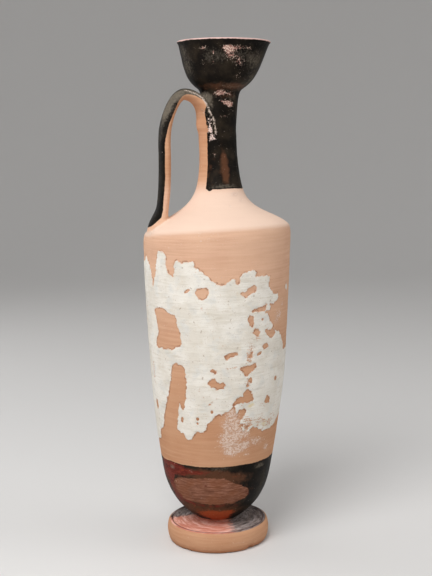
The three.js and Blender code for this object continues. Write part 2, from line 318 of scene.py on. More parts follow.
def made_plain(thing, tree=None, **inputs):
    """Evaluates an object's modifiers and keeps the result as its plain mesh."""
    if tree:
        modifier = thing.modifiers.new("rule", "NODES")
        modifier.node_group = tree
        for item in tree.interface.items_tree:
            if item.in_out == "INPUT" and item.name in inputs:
                modifier[item.identifier] = inputs[item.name]
    evaluated = thing.evaluated_get(bpy.context.evaluated_depsgraph_get())
    mesh = bpy.data.meshes.new_from_object(evaluated)
    thing.modifiers.clear()
    thing.data = mesh
    mesh.name = thing.name
    return thing


def spun(name, path, facets, clay):
    """A line in millimetres, spun on the wheel into a mesh in metres."""
    points = [(r * MM, 0, z * MM) for r, z in path]
    thing = plain_object(name, points, [(i, i + 1) for i in range(len(points) - 1)])
    return made_plain(thing, wheel, Points=len(points), Facets=facets, Clay=clay)


clay = bpy.data.materials.new("fired_clay")
FACETS, CORE_FACETS, CORE_SHARE = 216, 96, 0.5
vessel = spun("lekythos_clay", vessel_line, FACETS, clay)
core_line = hollow_line(CORE_SHARE)
core = spun("core", np.concatenate([core_line, [[0, core_line[-1, 1]]]]), CORE_FACETS, clay)
print("turned:", len(vessel.data.vertices), "points,", len(vessel.data.polygons), "faces")

# %% [markdown]
# ## The handle
# The handle is a strap of clay, pulled by hand, flat oval in section. It stands on the shoulder near its
# edge, rises, arches over, and widens where it is pressed onto the neck, a little askew. Each section is an
# oval lying across the route, so the skin over all of them is the strap.

# %% The handle's route and skin
HANDLE_REACH, HANDLE_ARCH_REACH, HANDLE_SPLAY = 32.2, 21.3, 2.2
HANDLE_SPRING_RISE, HANDLE_ARCH_RISE = 18.5, 32.9
HANDLE_SPRING_Z = NECK_ROOT_Z + HANDLE_SPRING_RISE
HANDLE_TOP_Z = HANDLE_SPRING_Z + HANDLE_ARCH_RISE
HANDLE_WIDTH, HANDLE_THICKNESS = 12.6, 6.4
HANDLE_BASE_SPREAD, HANDLE_BASE_SPREAD_HEIGHT = 3.2, 16
ROOT_DROP, ROOT_TAIL, ROOT_WIDTH, ROOT_RAISE, ROOT_SINK, ROOT_SKEW = 16.5, 11, 17.4, 0.8, 2.8, 30
ROOT_REACH = NECK_RADIUS + ROOT_RAISE - HANDLE_THICKNESS / 2
LEG_SECTIONS, ARCH_SECTIONS, TAIL_SECTIONS = 44, 26, 14
OVAL_FACETS = 36


def smooth(low, high, value):
    share = np.clip((value - low) / (high - low), 0, 1)
    return share * share * (3 - 2 * share)


def handle_sections():
    """Rows of reach, height, skew, width and thickness along the strap."""
    rows = []
    for i in range(LEG_SECTIONS):
        z = EDGE_Z + (HANDLE_SPRING_Z - EDGE_Z) * i / LEG_SECTIONS
        spread = HANDLE_BASE_SPREAD * (1 - smooth(EDGE_Z, EDGE_Z + HANDLE_BASE_SPREAD_HEIGHT, z))
        splay = HANDLE_SPLAY * (HANDLE_SPRING_Z - z) / (HANDLE_SPRING_Z - EDGE_Z)
        rows.append((HANDLE_REACH + splay + spread / 2, z, 0, HANDLE_WIDTH + spread,
                     HANDLE_THICKNESS + 2 * spread))
    for i in range(ARCH_SECTIONS):
        angle = math.pi / 2 * i / ARCH_SECTIONS
        reach = HANDLE_ARCH_REACH + (HANDLE_REACH - HANDLE_ARCH_REACH) * math.cos(angle)
        z = HANDLE_SPRING_Z + (HANDLE_TOP_Z - HANDLE_SPRING_Z) * math.sin(angle)
        rows.append((reach, z, 0, HANDLE_WIDTH, HANDLE_THICKNESS))
    for i in range(ARCH_SECTIONS + TAIL_SECTIONS + 1):
        angle = math.pi / 2 * min(i / ARCH_SECTIONS, 1)
        down = 1 - math.cos(angle)
        tail = max(i - ARCH_SECTIONS, 0) / TAIL_SECTIONS
        reach = HANDLE_ARCH_REACH + (ROOT_REACH - HANDLE_ARCH_REACH) * math.sin(angle) - ROOT_SINK * tail ** 2
        z = HANDLE_TOP_Z - ROOT_DROP * down - ROOT_TAIL * tail
        width = HANDLE_WIDTH + (ROOT_WIDTH - HANDLE_WIDTH) * down * (1 - tail)
        rows.append((reach, z, ROOT_SKEW * down, width, HANDLE_THICKNESS))
    return np.array(rows)


sections = handle_sections()
turn = math.pi + np.radians(sections[:, 2])
strap_centres = np.stack([sections[:, 0] * np.cos(turn), sections[:, 0] * np.sin(turn), sections[:, 1]], 1)
strap_route = np.gradient(strap_centres, axis=0)
strap_route /= np.linalg.norm(strap_route, axis=1)[:, None]
strap_across = np.stack([-np.sin(turn), np.cos(turn), 0 * turn], 1)
strap_outward = -np.cross(strap_route, strap_across)
strap_outward /= np.linalg.norm(strap_outward, axis=1)[:, None]

oval = np.linspace(0, 2 * math.pi, OVAL_FACETS, endpoint=False)
rings = (strap_centres[:, None]
         + strap_across[:, None] * (sections[:, 3] / 2)[:, None, None] * np.cos(oval)[None, :, None]
         - strap_outward[:, None] * (sections[:, 4] / 2)[:, None, None] * np.sin(oval)[None, :, None])
strap_faces = [tuple(range(OVAL_FACETS))[::-1],
               tuple(range(OVAL_FACETS * (len(rings) - 1), OVAL_FACETS * len(rings)))]
for i in range(len(rings) - 1):
    for k in range(OVAL_FACETS):
        a, b = i * OVAL_FACETS + k, i * OVAL_FACETS + (k + 1) % OVAL_FACETS
        strap_faces.append((a, b, b + OVAL_FACETS, a + OVAL_FACETS))
handle = plain_object("handle", rings.reshape(-1, 3) * MM, faces=strap_faces)
handle.data.materials.append(clay)
print("handle:", len(strap_faces), "faces")

# %% [markdown]
# Luting joins the strap to the flask. The strap's ends are first cut by a core that lies half way through
# the wall, so that nothing sticks out into the hollow, and then the strap and the flask become one clay.

# %% Luting
def boolean(thing, operation, other):
    modifier = thing.modifiers.new(operation, "BOOLEAN")
    modifier.operation, modifier.object, modifier.solver = operation, other, "MANIFOLD"
    made_plain(thing)
    bpy.data.objects.remove(other)


def volume_of(thing):
    mesh = thing.data
    mesh.calc_loop_triangles()
    co = np.array([v.co for v in mesh.vertices])
    tri = np.array([t.vertices for t in mesh.loop_triangles])
    a, b, c = co[tri[:, 0]], co[tri[:, 1]], co[tri[:, 2]]
    return float((a * np.cross(b, c)).sum() / 6) / MM ** 3 / 1000


print("volumes, cm3: vessel", round(volume_of(vessel), 1), "core", round(volume_of(core), 1),
      "handle", round(volume_of(handle), 2))
for thing in (vessel, core, handle):
    if volume_of(thing) < 0:
        thing.data.flip_normals()
boolean(handle, "DIFFERENCE", core)
boolean(vessel, "UNION", handle)
print("luted:", len(vessel.data.polygons), "faces,", round(volume_of(vessel), 1), "cm3")

# %% [markdown]
# ## Finding a place on the flask
# Every coat and every worn place is named by two numbers that can be measured on the real flask: degrees
# round it and millimetres up it. The handle is at 180 degrees and the side that is seen is about -110.
# So each point of the clay first gets its own two numbers, and what it belongs to: the outside, the inside,
# or the strap.

# %% Where each point is
def points_of(thing):
    co = np.empty(len(thing.data.vertices) * 3)
    thing.data.vertices.foreach_get("co", co)
    return co.reshape(-1, 3) / MM


def nearest_in(targets, points):
    """The nearest target to each point: its number and its distance."""
    tree = kdtree.KDTree(len(targets))
    for i, target in enumerate(targets):
        tree.insert(target, i)
    tree.balance()
    found = [tree.find(point) for point in points]
    return np.array([f[1] for f in found]), np.array([f[2] for f in found])


straight = points_of(vessel)
turn_at = np.degrees(np.arctan2(straight[:, 1], straight[:, 0]))
height_at = straight[:, 2]
radius_at = np.hypot(straight[:, 0], straight[:, 1])

fine_line = evenly(vessel_line, 0.3)
flat_line = np.column_stack([fine_line, np.zeros(len(fine_line))])
station, off_line = nearest_in(flat_line, np.column_stack([radius_at, height_at, 0 * height_at]))
rim_station = int(np.argmax(fine_line[:, 1] + 0.01 * fine_line[:, 0]))
ON_LINE_WITHIN = 0.3
on_wheel = off_line < ON_LINE_WITHIN
outside = on_wheel & (station <= rim_station)
hollowed = on_wheel & (station > rim_station)

spine, _ = nearest_in(strap_centres, straight)
from_spine = straight - strap_centres[spine]
strap_out = (from_spine * strap_outward[spine]).sum(1)
on_strap = ~on_wheel
print("points outside, inside, strap:", outside.sum(), hollowed.sum(), on_strap.sum())


# %% Blots and outlines
def wrapped(degrees):
    return (degrees + 180) % 360 - 180


def blot(turn, height, across, tall, slant=0.0, at=None):
    """1 in the middle of an oval place and 0 at its edge. Half sizes are in mm, the slant in degrees."""
    degrees, up, radius = at if at is not None else (turn_at, height_at, radius_at)
    x = np.radians(wrapped(degrees - turn)) * radius
    y = up - height
    c, s = math.cos(math.radians(slant)), math.sin(math.radians(slant))
    reach = np.hypot((x * c + y * s) / across, (y * c - x * s) / tall)
    return 1 - smooth(0, 1, reach)


def blots(places, at=None):
    """The sum of many blots, from 0 to 1. A blot's strength and, if it has one, its slant come last."""
    total = 0
    for turn, height, across, tall, strength, *slant in places:
        total = total + strength * blot(turn, height, across, tall, *slant, at=at)
    return np.clip(total, 0, 1)


def depth_in(outline, at, roundness):
    """Millimetres inside (+) or outside (-) an outline of (degrees, mm) on a wall of that radius."""
    degrees, up = at
    corners = np.array(outline, float)
    middle = corners[:, 0].mean()
    x = np.radians(wrapped(degrees - middle)) * roundness
    corners = np.column_stack([np.radians(corners[:, 0] - middle) * roundness, corners[:, 1]])
    spots = np.column_stack([x, up])
    ends = np.roll(corners, -1, axis=0)
    depth = np.full(len(spots), np.inf)
    within = np.zeros(len(spots), bool)
    for a, b in zip(corners, ends):
        stretch = b - a
        along = np.clip(((spots - a) @ stretch) / (stretch @ stretch), 0, 1)
        depth = np.minimum(depth, np.linalg.norm(spots - a - along[:, None] * stretch, axis=1))
        crosses = (a[1] > spots[:, 1]) != (b[1] > spots[:, 1])
        if a[1] != b[1]:
            within ^= crosses & (spots[:, 0] < a[0] + (spots[:, 1] - a[1]) * stretch[0] / stretch[1])
    return np.where(within, depth, -depth)


def rough(points, size, seed=0.0):
    """Smooth noise from -1 to 1 whose lumps are about that many mm across."""
    return np.array([noise.noise(Vector(p) / size + Vector((seed, 0, 0))) for p in points])


# %% [markdown]
# ## The white slip
# The wall was brushed with a thin white clay, which has flaked off in sheets. What is left has a real
# thickness: its upper edges throw a thin shadow. So it is a piece of its own, a shell that stands about a
# third of a millimetre proud of the wall. Its outline is given by the few corners that a person tracing it
# would mark, and noise makes the edge ragged between them. Where it crumbles, stronger noise eats it away.

# %% What is left of the slip, in degrees round and millimetres up
FRONT_SLIP = [
    (-206, 166), (-196, 172), (-186, 171), (-179.9, 174.4), (-173, 169), (-169.8, 163.2), (-168.2, 156.8),
    (-164.1, 164.7), (-161.7, 173), (-159.8, 176.8), (-154.4, 177.1), (-150.9, 174.5), (-150.6, 169.8),
    (-149.1, 165.4), (-146.5, 163.6), (-143.5, 162.7), (-143.1, 168.5), (-141.7, 171.3), (-139.7, 172),
    (-136.3, 170.3), (-126.3, 170.9), (-124.8, 168.8), (-126.8, 167.3), (-123.3, 166.6), (-119.5, 165),
    (-114.1, 160.4), (-109.9, 158.4), (-105.3, 157.4), (-100.6, 158.7), (-97.6, 160.9), (-95.6, 160.5),
    (-94.6, 158.1), (-92.8, 156.5), (-91.5, 161.2), (-88.9, 163.2), (-81.9, 164.2), (-78.4, 162.8),
    (-78.1, 161.3), (-73.7, 160.6), (-63.7, 160.4), (-64.9, 158.1), (-65.4, 154.5), (-62, 152.5),
    (-60.6, 150.3), (-54.5, 150.1), (-53.5, 147.6), (-57.2, 145.5), (-72, 144.9), (-77.4, 143.8),
    (-81.5, 142.4), (-77.9, 142.2), (-69.6, 142), (-65.9, 140.2), (-63.7, 136.3), (-58.6, 132.8),
    (-54.2, 129.2), (-50.6, 129.4), (-46, 126.4), (-42.3, 121.4), (-38.9, 117.3), (-24, 119), (-14, 108),
    (-17, 92), (-26, 84), (-31.7, 78.3), (-40.3, 75.7), (-45.4, 73.8), (-52.8, 72.2), (-63, 71.7),
    (-73.4, 74.4), (-82, 74.6), (-88.8, 75.9), (-91.2, 79.4), (-92.7, 86.2), (-95, 89.7), (-96.9, 87.8),
    (-103.6, 85.4), (-109.4, 85.2), (-112.3, 82.9), (-115.8, 80.5), (-118.3, 79.5), (-118.8, 76.8),
    (-121.4, 74.3), (-125.6, 74.9), (-128.8, 73.7), (-131.7, 71.5), (-134.2, 69.4), (-138.2, 70),
    (-140.4, 72.6), (-147.7, 75), (-160, 70), (-184, 64), (-197, 62), (-206, 74), (-203, 96), (-210, 118),
    (-204, 140)]
BACK_SLIP = [
    [(142, 172), (120, 168), (96, 173), (84, 160), (62, 164), (50, 148), (54, 126), (44, 104), (60, 84),
     (82, 76), (96, 66), (120, 72), (140, 80), (146, 104), (138, 126), (147, 150)],
    [(36, 158), (20, 163), (6, 150), (-8, 146), (-4, 128), (10, 122), (22, 104), (38, 112), (34, 134)]]
SMALL_SLIP = [
    (-66, 143.6, 2.4, 1.9, 20), (-39, 152.6, 1.5, 2.2, 20)]
BARE = [
    [(-168.2, 143.1), (-161, 145.5), (-154.7, 144.5), (-148.1, 142), (-144.2, 141.5), (-141.9, 135.7),
     (-140.1, 132.6), (-138.8, 125.7), (-141.8, 123.9), (-148.8, 121.8), (-166.3, 121.8), (-168.9, 123.9),
     (-163.8, 131), (-164.1, 134.2), (-166.2, 138)],
    [(-149, 113.4), (-144.2, 114.1), (-139.3, 112.8), (-136.8, 111.6), (-135.5, 102.2), (-136, 97.5),
     (-138.7, 88.6), (-139.8, 84.5), (-141.7, 88.7), (-143, 91.3), (-145, 86.8), (-145.8, 81.9),
     (-147.7, 75), (-150, 66), (-176, 66), (-174.9, 71.3), (-167.5, 74.5), (-162.3, 83.4), (-157.5, 92.2),
     (-154.3, 97.2), (-151.6, 102.2)],
    [(-125.5, 153.7), (-123.8, 155.8), (-121, 156.4), (-116.3, 156), (-115.8, 153.9), (-116.4, 151.2),
     (-118.6, 150), (-122.6, 149.7)],
    [(-91.5, 152.2), (-87.4, 153), (-82.7, 155.7), (-79.7, 156.1), (-77.2, 155), (-78.7, 153.1),
     (-86.9, 150.2)],
    [(-85.3, 138.6), (-83.4, 140.3), (-80.4, 139.5), (-79.3, 137), (-81.3, 134), (-84.8, 137.1)],
    [(-81.5, 131), (-78.1, 132.3), (-75, 132.7), (-73.5, 130.8), (-75.8, 127.7), (-78.5, 129.5)],
    [(-68.2, 131.2), (-64.1, 131.6), (-57.5, 130.3), (-55.7, 128.6), (-58.7, 126.8), (-62.9, 126.3)],
    [(-104.1, 118.9), (-101.6, 120.4), (-98, 121.4), (-93.4, 121), (-93.2, 119.7), (-99.4, 118.6),
     (-103.1, 116.7)],
    [(-91, 112.5), (-85.4, 112.8), (-77.1, 113.5), (-76.2, 111.4), (-82.6, 108), (-85, 106.7),
     (-89.8, 110.6)],
    [(-114.9, 111), (-112.9, 112.1), (-110.4, 111.2), (-109.1, 109.5), (-111.5, 108.9)],
    [(-117.1, 104.1), (-115.2, 105.6), (-111.5, 106.5), (-107.8, 103.3), (-104.6, 104.1), (-102.5, 102.6),
     (-105, 100.7), (-109.2, 100), (-112.4, 101.4), (-115.2, 101.3)],
    [(-95.7, 90.6), (-94.2, 93), (-90.4, 95.6), (-87.3, 94.9), (-86.9, 97.1), (-84, 99.1), (-79.9, 97.9),
     (-77.1, 92.3), (-80.6, 91.2), (-90.1, 91.4)],
    [(-91.9, 84.7), (-89.3, 87.3), (-85.6, 87.9), (-83.1, 85.8), (-88.8, 82.5)],
    [(-62.1, 94.3), (-58.5, 92), (-57.6, 89.1), (-60.9, 88.2), (-64.3, 90.1)]]
SMALL_BARE = [
    (-67.6, 122.7, 2.4, 1.5), (-132.3, 154.9, 1.9, 0.9, 25), (-71.7, 137.6, 0.9, 0.9),
    (-73.6, 119, 1.7, 0.8, 25), (-51.8, 102.1, 1.5, 1.1), (-126.3, 82.6, 1, 0.8),
    (-126.4, 79.9, 0.9, 0.8), (-113.8, 86.9, 0.9, 0.9), (-141.3, 81.7, 1, 1.6, 10), (-82, 104.2, 1.2, 1),
    (-84, 101.5, 1, 0.8), (-176.2, 86.6, 1.6, 2.6)]
CRUMBLING = [
    (-90, 79, 6, 10, 0.7), (-84, 76, 10, 6, 0.7), (-66, 74, 16, 4, 0.8), (-97, 86, 6, 4, 0.5, 30),
    (-82, 120, 4, 8, 0.7), (-80, 104, 4, 7, 0.6), (-62, 131, 6, 6, 0.4), (-50, 144, 6, 6, 0.6),
    (-176, 100, 5, 14, 0.5), (-104, 88, 8, 3, 0.4, 20), (60, 90, 16, 12, 0.8), (20, 112, 10, 10, 0.6)]


# %% The shell
SLIP_STEP = 0.72
SLIP_THICKNESS, SLIP_SUNK = 0.3, 0.25
SLIP_EDGE_SHARE, SLIP_EDGE_WIDTH = 0.55, 1.4
SLIVER = 0.06
PATCH_SLOPE = 3.4
wall_line = outer_line[(outer_line[:, 1] > STEM_Z) & (outer_line[:, 1] < NECK_ROOT_Z)]


def wall_radius(height):
    return np.interp(height, wall_line[:, 1], wall_line[:, 0])


def small_patch(at, turn, height, across, tall, slant=0.0):
    """Millimetres inside a small oval of those half sizes."""
    return (blot(turn, height, 2 * across, 2 * tall, slant, at) - 0.5) * PATCH_SLOPE


def slip_depth(degrees, up, spots):
    """Millimetres inside what is left of the slip, with a ragged edge."""
    at, on_body = (degrees, up), (degrees, up, BODY_RADIUS)
    depth = depth_in(FRONT_SLIP, at, BODY_RADIUS)
    worn_edge = 3 * rough(spots, 8, 13) + 1.5 * rough(spots, 3, 17)
    holes = 4.4 - 9 * rough(spots, 6, 31)
    for outline in BACK_SLIP:
        depth = np.maximum(depth, np.minimum(depth_in(outline, at, BODY_RADIUS) + worn_edge, holes))
    for place in SMALL_SLIP:
        depth = np.maximum(depth, small_patch(on_body, *place))
    for outline in BARE:
        depth = np.minimum(depth, -depth_in(outline, at, BODY_RADIUS))
    for place in SMALL_BARE:
        depth = np.minimum(depth, -small_patch(on_body, *place))
    ragged = 0.8 * rough(spots, 2.8) + 0.7 * rough(spots, 1.2, 7)
    eaten = 1.2 + 4.5 * rough(spots, 1.7, 21) + 3 * rough(spots, 4, 25)
    return depth + ragged - blots(CRUMBLING, on_body) * eaten


def on_wall(degrees, up, out=0.0):
    """A point of the wall's outside in millimetres, so many mm out from it."""
    radius = wall_radius(up) + out
    return np.stack([radius * np.cos(np.radians(degrees)), radius * np.sin(np.radians(degrees)), up], -1)


def without_crumbs(depth, fewest=12):
    """Takes away the patches of slip that cover fewer grid points than that."""
    patch = np.where(depth > 0, np.arange(1, depth.size + 1).reshape(depth.shape), 0)
    changed = True
    while changed:
        spread = patch
        for step, axis in ((1, 0), (-1, 0), (1, 1), (-1, 1)):
            spread = np.maximum(spread, np.roll(spread, step, axis))
        spread = np.where(depth > 0, spread, 0)
        changed = (spread != patch).any()
        patch = spread
    names, uses = np.unique(patch, return_counts=True)
    return np.where(np.isin(patch, names[uses < fewest]), -SLIVER, depth)


def slip_shell():
    columns = np.arange(0, 360, math.degrees(SLIP_STEP / BODY_RADIUS))
    rows = np.arange(BOWL_Z + 6, EDGE_Z - 4, SLIP_STEP)
    degrees, up = (g.ravel() for g in np.meshgrid(columns, rows, indexing="ij"))
    depth = slip_depth(degrees, up, on_wall(degrees, up))
    depth[np.abs(depth) < SLIVER] = SLIVER
    depth = without_crumbs(depth.reshape(len(columns), len(rows)))
    places, found, faces = [], {}, []

    def corner(here, there):
        """The place of a grid point, or of where the edge crosses the line between two of them."""
        a, b = sorted((here, there))
        if (a, b) not in found:
            share = 0.0 if a == b else depth[a] / (depth[a] - depth[b])
            wide = (b[0] - a[0] + len(columns) // 2) % len(columns) - len(columns) // 2
            found[a, b] = len(places)
            places.append((columns[a[0]] + share * wide * columns[1],
                           rows[a[1]] + share * (rows[b[1]] - rows[a[1]]),
                           max(depth[a], 0) if a == b else 0))
        return found[a, b]

    for i in range(len(columns)):
        i2 = (i + 1) % len(columns)
        for j in range(len(rows) - 1):
            ring = [(i, j), (i2, j), (i2, j + 1), (i, j + 1)]
            held = [depth[c] > 0 for c in ring]
            if not any(held):
                continue
            face = []
            for n in range(4):
                here, there = ring[n], ring[(n + 1) % 4]
                if held[n]:
                    face.append(corner(here, here))
                if held[n] != held[(n + 1) % 4]:
                    face.append(corner(here, there))
            faces.append(face)
    return np.array(places), faces


shell_places, shell_faces = slip_shell()
lumps = rough(on_wall(shell_places[:, 0], shell_places[:, 1]), 5.0, 3)
body_of_slip = smooth(0, SLIP_EDGE_WIDTH, shell_places[:, 2])
lift = SLIP_THICKNESS * (SLIP_EDGE_SHARE + (1 - SLIP_EDGE_SHARE) * body_of_slip) + 0.04 * lumps
top = on_wall(shell_places[:, 0], shell_places[:, 1], lift)
under = on_wall(shell_places[:, 0], shell_places[:, 1], -SLIP_SUNK)
count = len(top)
edges = dict.fromkeys((a, b) for face in shell_faces for a, b in zip(face, face[1:] + face[:1]))
rim_edges = [(a, b) for a, b in edges if (b, a) not in edges]
slip_faces = (shell_faces + [[count + v for v in reversed(face)] for face in shell_faces]
              + [[a, count + a, count + b, b] for a, b in rim_edges])
slip = plain_object("white_slip", np.concatenate([top, under]) * MM, faces=slip_faces)
edge_points = set(v for e in rim_edges for v in e)
print("slip:", len(slip_faces), "faces,", len(rim_edges), "edge pieces")

# %% [markdown]
# ## Glaze, wear and stains
# The black gloss is a slip too, but so thin that it is only colour and shine. Where it ends is kept as a
# distance in millimetres from the edge, because a distance stays smooth between the mesh's points and still
# gives a crisp brushed line. Worn and stained places are soft blots, which the materials break up with noise;
# some blots and lines also carry painted sheen, highlights and shade.

# %% Where the gloss ends
NECK_GLAZE_Z, BARE_STRIP_HALF = 210.2, 38
BAND_Z = 53.5
FOOT_EDGE = 0.7
STRAP_GLAZE_LEG, STRAP_GLAZE_ARCH, STRAP_GLAZE_FOOT = 1.3, -0.5, 197
ARCH_LOW_Z, ARCH_HIGH_Z = 232, 256
RUB_AND_SHEEN_LOW_Z, RUB_AND_SHEEN_HIGH_Z = 238, 264
STRIP_TOP_Z = 257
WORN_PATCH = [
    (-171, 37.5), (-163, 41.5), (-154.4, 44.1), (-146, 45.6), (-120, 46.9), (-101, 46.5), (-94.4, 43.8),
    (-86, 41.6), (-76, 38.8), (-71, 35.5), (-73, 31.8), (-89.5, 29.3), (-112, 28.9), (-145.3, 29.8),
    (-161, 31.4)]

wobble = rough(straight, 9.0, 11)
behind = 180 - np.abs(wrapped(turn_at))
strip_edge = (behind - BARE_STRIP_HALF + 2 * smooth(250, 212, height_at)) * math.pi / 180 * NECK_RADIUS
drip = 2.4 * blot(-132, 213, 2.2, 7)
neck_glaze = np.minimum(height_at - NECK_GLAZE_Z + 0.7 * wobble + drip, strip_edge + 0.3 * wobble)
over_strip = np.where(height_at > STRIP_TOP_Z - 1, height_at - STRIP_TOP_Z, -np.inf)
neck_glaze = np.maximum(neck_glaze, over_strip)
neck_glaze = np.minimum(neck_glaze, RIM_Z - 0.9 - height_at + 0.25 * wobble)
band_glaze = BAND_Z + 0.4 * wobble + 0.4 * blot(-160, 54.5, 9, 8) - height_at
foot_glaze = FOOT_TOP_RADIUS - FOOT_EDGE - radius_at + 0.15 * wobble
foot_glaze = np.where(height_at < FOOT_HEIGHT + 3, foot_glaze, 99)
foot_glaze = np.where(height_at < FOOT_HEIGHT - 0.4, -2.0, foot_glaze)
glaze = np.where(height_at > EDGE_Z, neck_glaze, np.minimum(band_glaze, foot_glaze))
cup_glaze = np.minimum(height_at - NECK_TOP_Z + 3 + wobble,
                       RIM_Z - RIM_SLOPE - 0.8 - height_at + 0.2 * wobble)
glaze = np.where(hollowed, cup_glaze, glaze)
seen_side = smooth(-158, -140, turn_at) * (turn_at < 0)
over_arch = smooth(ARCH_LOW_Z, ARCH_HIGH_Z, height_at)
strap_gloss_edge = STRAP_GLAZE_LEG + (STRAP_GLAZE_ARCH - STRAP_GLAZE_LEG) * over_arch
strap_gloss_edge -= 3.4 * seen_side * smooth(24, 14, radius_at) * smooth(260, 252, height_at)
strap_foot = height_at - (STRAP_GLAZE_FOOT - strap_out) + wobble
glaze = np.where(on_strap, np.minimum(strap_out - strap_gloss_edge + 0.5 * wobble, strap_foot), glaze)
worn = depth_in(WORN_PATCH, (turn_at, height_at), 27)
slip_left = np.where(outside, slip_depth(turn_at, height_at, straight), -9)
